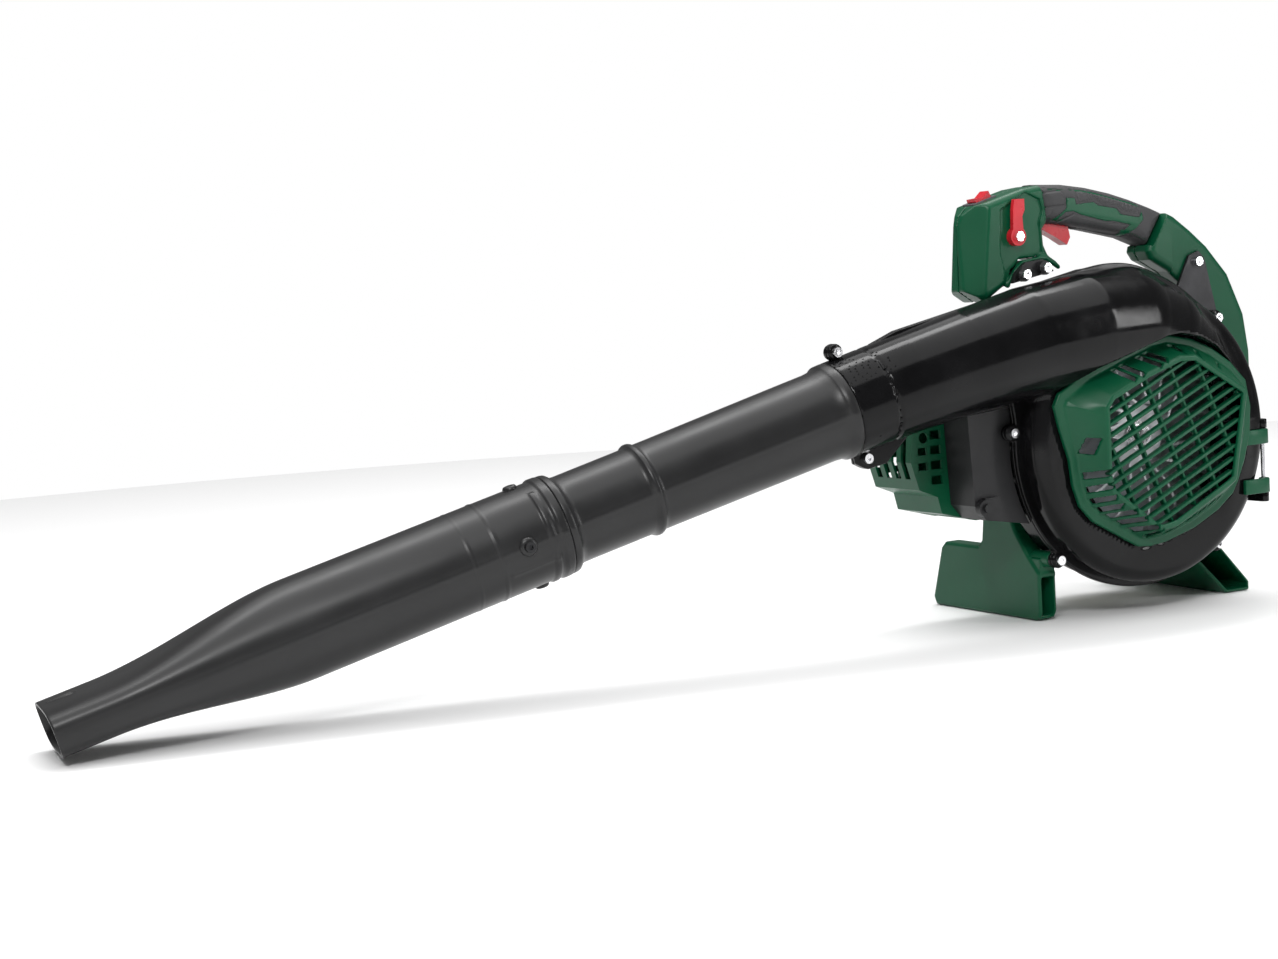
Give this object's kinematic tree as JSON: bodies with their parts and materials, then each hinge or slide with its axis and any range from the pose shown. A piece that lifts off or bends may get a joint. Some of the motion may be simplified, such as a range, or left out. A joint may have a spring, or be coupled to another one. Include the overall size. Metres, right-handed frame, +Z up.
{
  "type": "leaf blower",
  "caption": "Hand-held petrol leaf blower: two-half fan housing with hinged grille, looped handle with trigger, small two-stroke engine, feet and a flat-mouthed blow tube.",
  "frame": {"origin": "on the floor under the middle of the bounding box", "axes": "+X to the rear, away from the nozzle; -Y to the intake grille side; +Z up"},
  "size_m": [1.1932, 0.261, 0.4075],
  "materials": {
    "housing_black": "moulded plastic, glossy",
    "green_plastic": "moulded plastic, satin gloss",
    "tube_plastic": "blow-moulded plastic, satin",
    "dark_plastic": "moulded plastic, satin",
    "grey_plastic": "moulded plastic, matt",
    "red_plastic": "moulded plastic, glossy",
    "orange_plastic": "moulded plastic, glossy",
    "grip_rubber": "moulded rubber, matt",
    "soft_black": "moulded rubber, matt",
    "tank_plastic": "natural plastic, translucent look",
    "white_plastic": "moulded plastic",
    "cast_alloy": "die cast, as cast",
    "fan_alloy": "die cast, bright",
    "zinc_steel": "zinc plated",
    "black_steel": "black oxide",
    "steel": "ground",
    "hot_steel": "heat-stained",
    "ceramic": null,
    "foam": null,
    "cord": "braided"
  },
  "bodies": {
    "machine": {"volute_left": "housing_black", "volute_right": "housing_black", "cover_hinge_pin": "steel", "crank_bearings": "steel", "crankcase": "cast_alloy", "cylinder": "cast_alloy", "spark_plug": "ceramic", "plug_cap": "soft_black", "ignition_coil": "dark_plastic", "starter_housing": "housing_black", "reed_block": "dark_plastic", "carburettor": "cast_alloy", "air_filter_base": "dark_plastic", "air_filter_element": "foam", "air_filter_cover": "dark_plastic", "muffler": "hot_steel", "muffler_guard": "dark_plastic", "air_duct": "dark_plastic", "duct_clip": "dark_plastic", "engine_cover": "green_plastic", "fuel_tank": "tank_plastic", "front_foot": "green_plastic", "rear_foot": "green_plastic", "handle_left": "green_plastic", "handle_right": "green_plastic", "grip_rubber": "grip_rubber", "trigger_pin": "steel", "switch_base": "grey_plastic", "front_mount": "dark_plastic", "front_mount_screws": "zinc_steel", "rear_plate": "black_steel", "rear_plate_screws": "zinc_steel", "upper_tube": "tube_plastic", "nozzle": "tube_plastic", "nozzle_screw": "black_steel", "clamp_bolts": "zinc_steel", "flange_bolts": "zinc_steel"},
    "cover": {"intake_cover": "green_plastic"},
    "rotor": {"fan": "fan_alloy", "fan_nut": "zinc_steel", "crankshaft": "steel", "flywheel": "cast_alloy", "starter_cup": "steel"},
    "piston": {"piston": "cast_alloy"},
    "starter_handle": {"starter_rope": "cord", "starter_grip": "dark_plastic"},
    "pulley": {"starter_pulley": "white_plastic"},
    "trigger": {"trigger": "red_plastic"},
    "throttle_lever": {"throttle_lever": "zinc_steel"},
    "primer_bulb": {"primer_bulb": "soft_black"},
    "choke_lever": {"choke_lever": "orange_plastic"},
    "stop_switch": {"stop_switch": "red_plastic"},
    "lock_lever": {"lock_lever": "red_plastic", "lock_lever_nut": "zinc_steel"},
    "fuel_cap": {"fuel_cap": "dark_plastic"},
    "filter_knob": {"filter_knob": "dark_plastic"}
  },
  "joints": [
    {"name": "cover_hinge", "type": "hinge", "parent": "machine", "child": "cover", "pos_m": [0.5685, -0.0885, 0.132], "axis": [0, 0, 1], "range_deg": [0, 100]},
    {"name": "rotor_spin", "type": "hinge", "parent": "machine", "child": "rotor", "pos_m": [0.433, -0.063, 0.167], "axis": [0, 1, 0], "continuous": true},
    {"name": "piston_slide", "type": "slide", "parent": "machine", "child": "piston", "axis": [1, 0, 0], "range_m": [0, 0.028]},
    {"name": "starter_pull", "type": "slide", "parent": "machine", "child": "starter_handle", "axis": [0, 0, 1], "range_m": [0, 0.1], "stiffness_N_per_m": 60, "springref_m": -0.05},
    {"name": "pulley_spin", "type": "hinge", "parent": "machine", "child": "pulley", "pos_m": [0.433, 0.069, 0.167], "axis": [0, -1, 0], "range_deg": [0, 225]},
    {"name": "trigger_squeeze", "type": "hinge", "parent": "machine", "child": "trigger", "pos_m": [0.353, -0.036, 0.379], "axis": [0, -1, 0], "range_deg": [0, 16], "stiffness_Nm_per_rad": 0.15, "springref_deg": -11.46},
    {"name": "throttle_turn", "type": "hinge", "parent": "machine", "child": "throttle_lever", "pos_m": [0.499, 0.006, 0.167], "axis": [0, 0, 1], "range_deg": [0, 65]},
    {"name": "primer_press", "type": "slide", "parent": "machine", "child": "primer_bulb", "axis": [0, -1, 0], "range_m": [0, 0.005], "stiffness_N_per_m": 400, "springref_m": -0.001},
    {"name": "choke_turn", "type": "hinge", "parent": "machine", "child": "choke_lever", "pos_m": [0.523, 0.006, 0.215], "axis": [-1, 0, 0], "range_deg": [0, 60]},
    {"name": "switch_rock", "type": "hinge", "parent": "machine", "child": "stop_switch", "pos_m": [0.285, -0.036, 0.393], "axis": [0, 1, 0], "range_deg": [0, 16]},
    {"name": "lever_turn", "type": "hinge", "parent": "machine", "child": "lock_lever", "pos_m": [0.307, -0.058, 0.36], "axis": [0, 1, 0], "range_deg": [0, 50]},
    {"name": "fuel_cap_turn", "type": "hinge", "parent": "machine", "child": "fuel_cap", "pos_m": [0.469, 0.075, 0.071], "axis": [0, 1, 0], "range_deg": [0, 270]},
    {"name": "filter_knob_turn", "type": "hinge", "parent": "machine", "child": "filter_knob", "pos_m": [0.528, 0.017, 0.17], "axis": [1, 0, 0], "range_deg": [0, 270]}
  ],
  "couplings": [
    {"joint": "pulley_spin", "follows": "starter_pull", "rad_per_m": 38.462},
    {"joint": "throttle_turn", "follows": "trigger_squeeze", "ratio": 4}
  ]
}
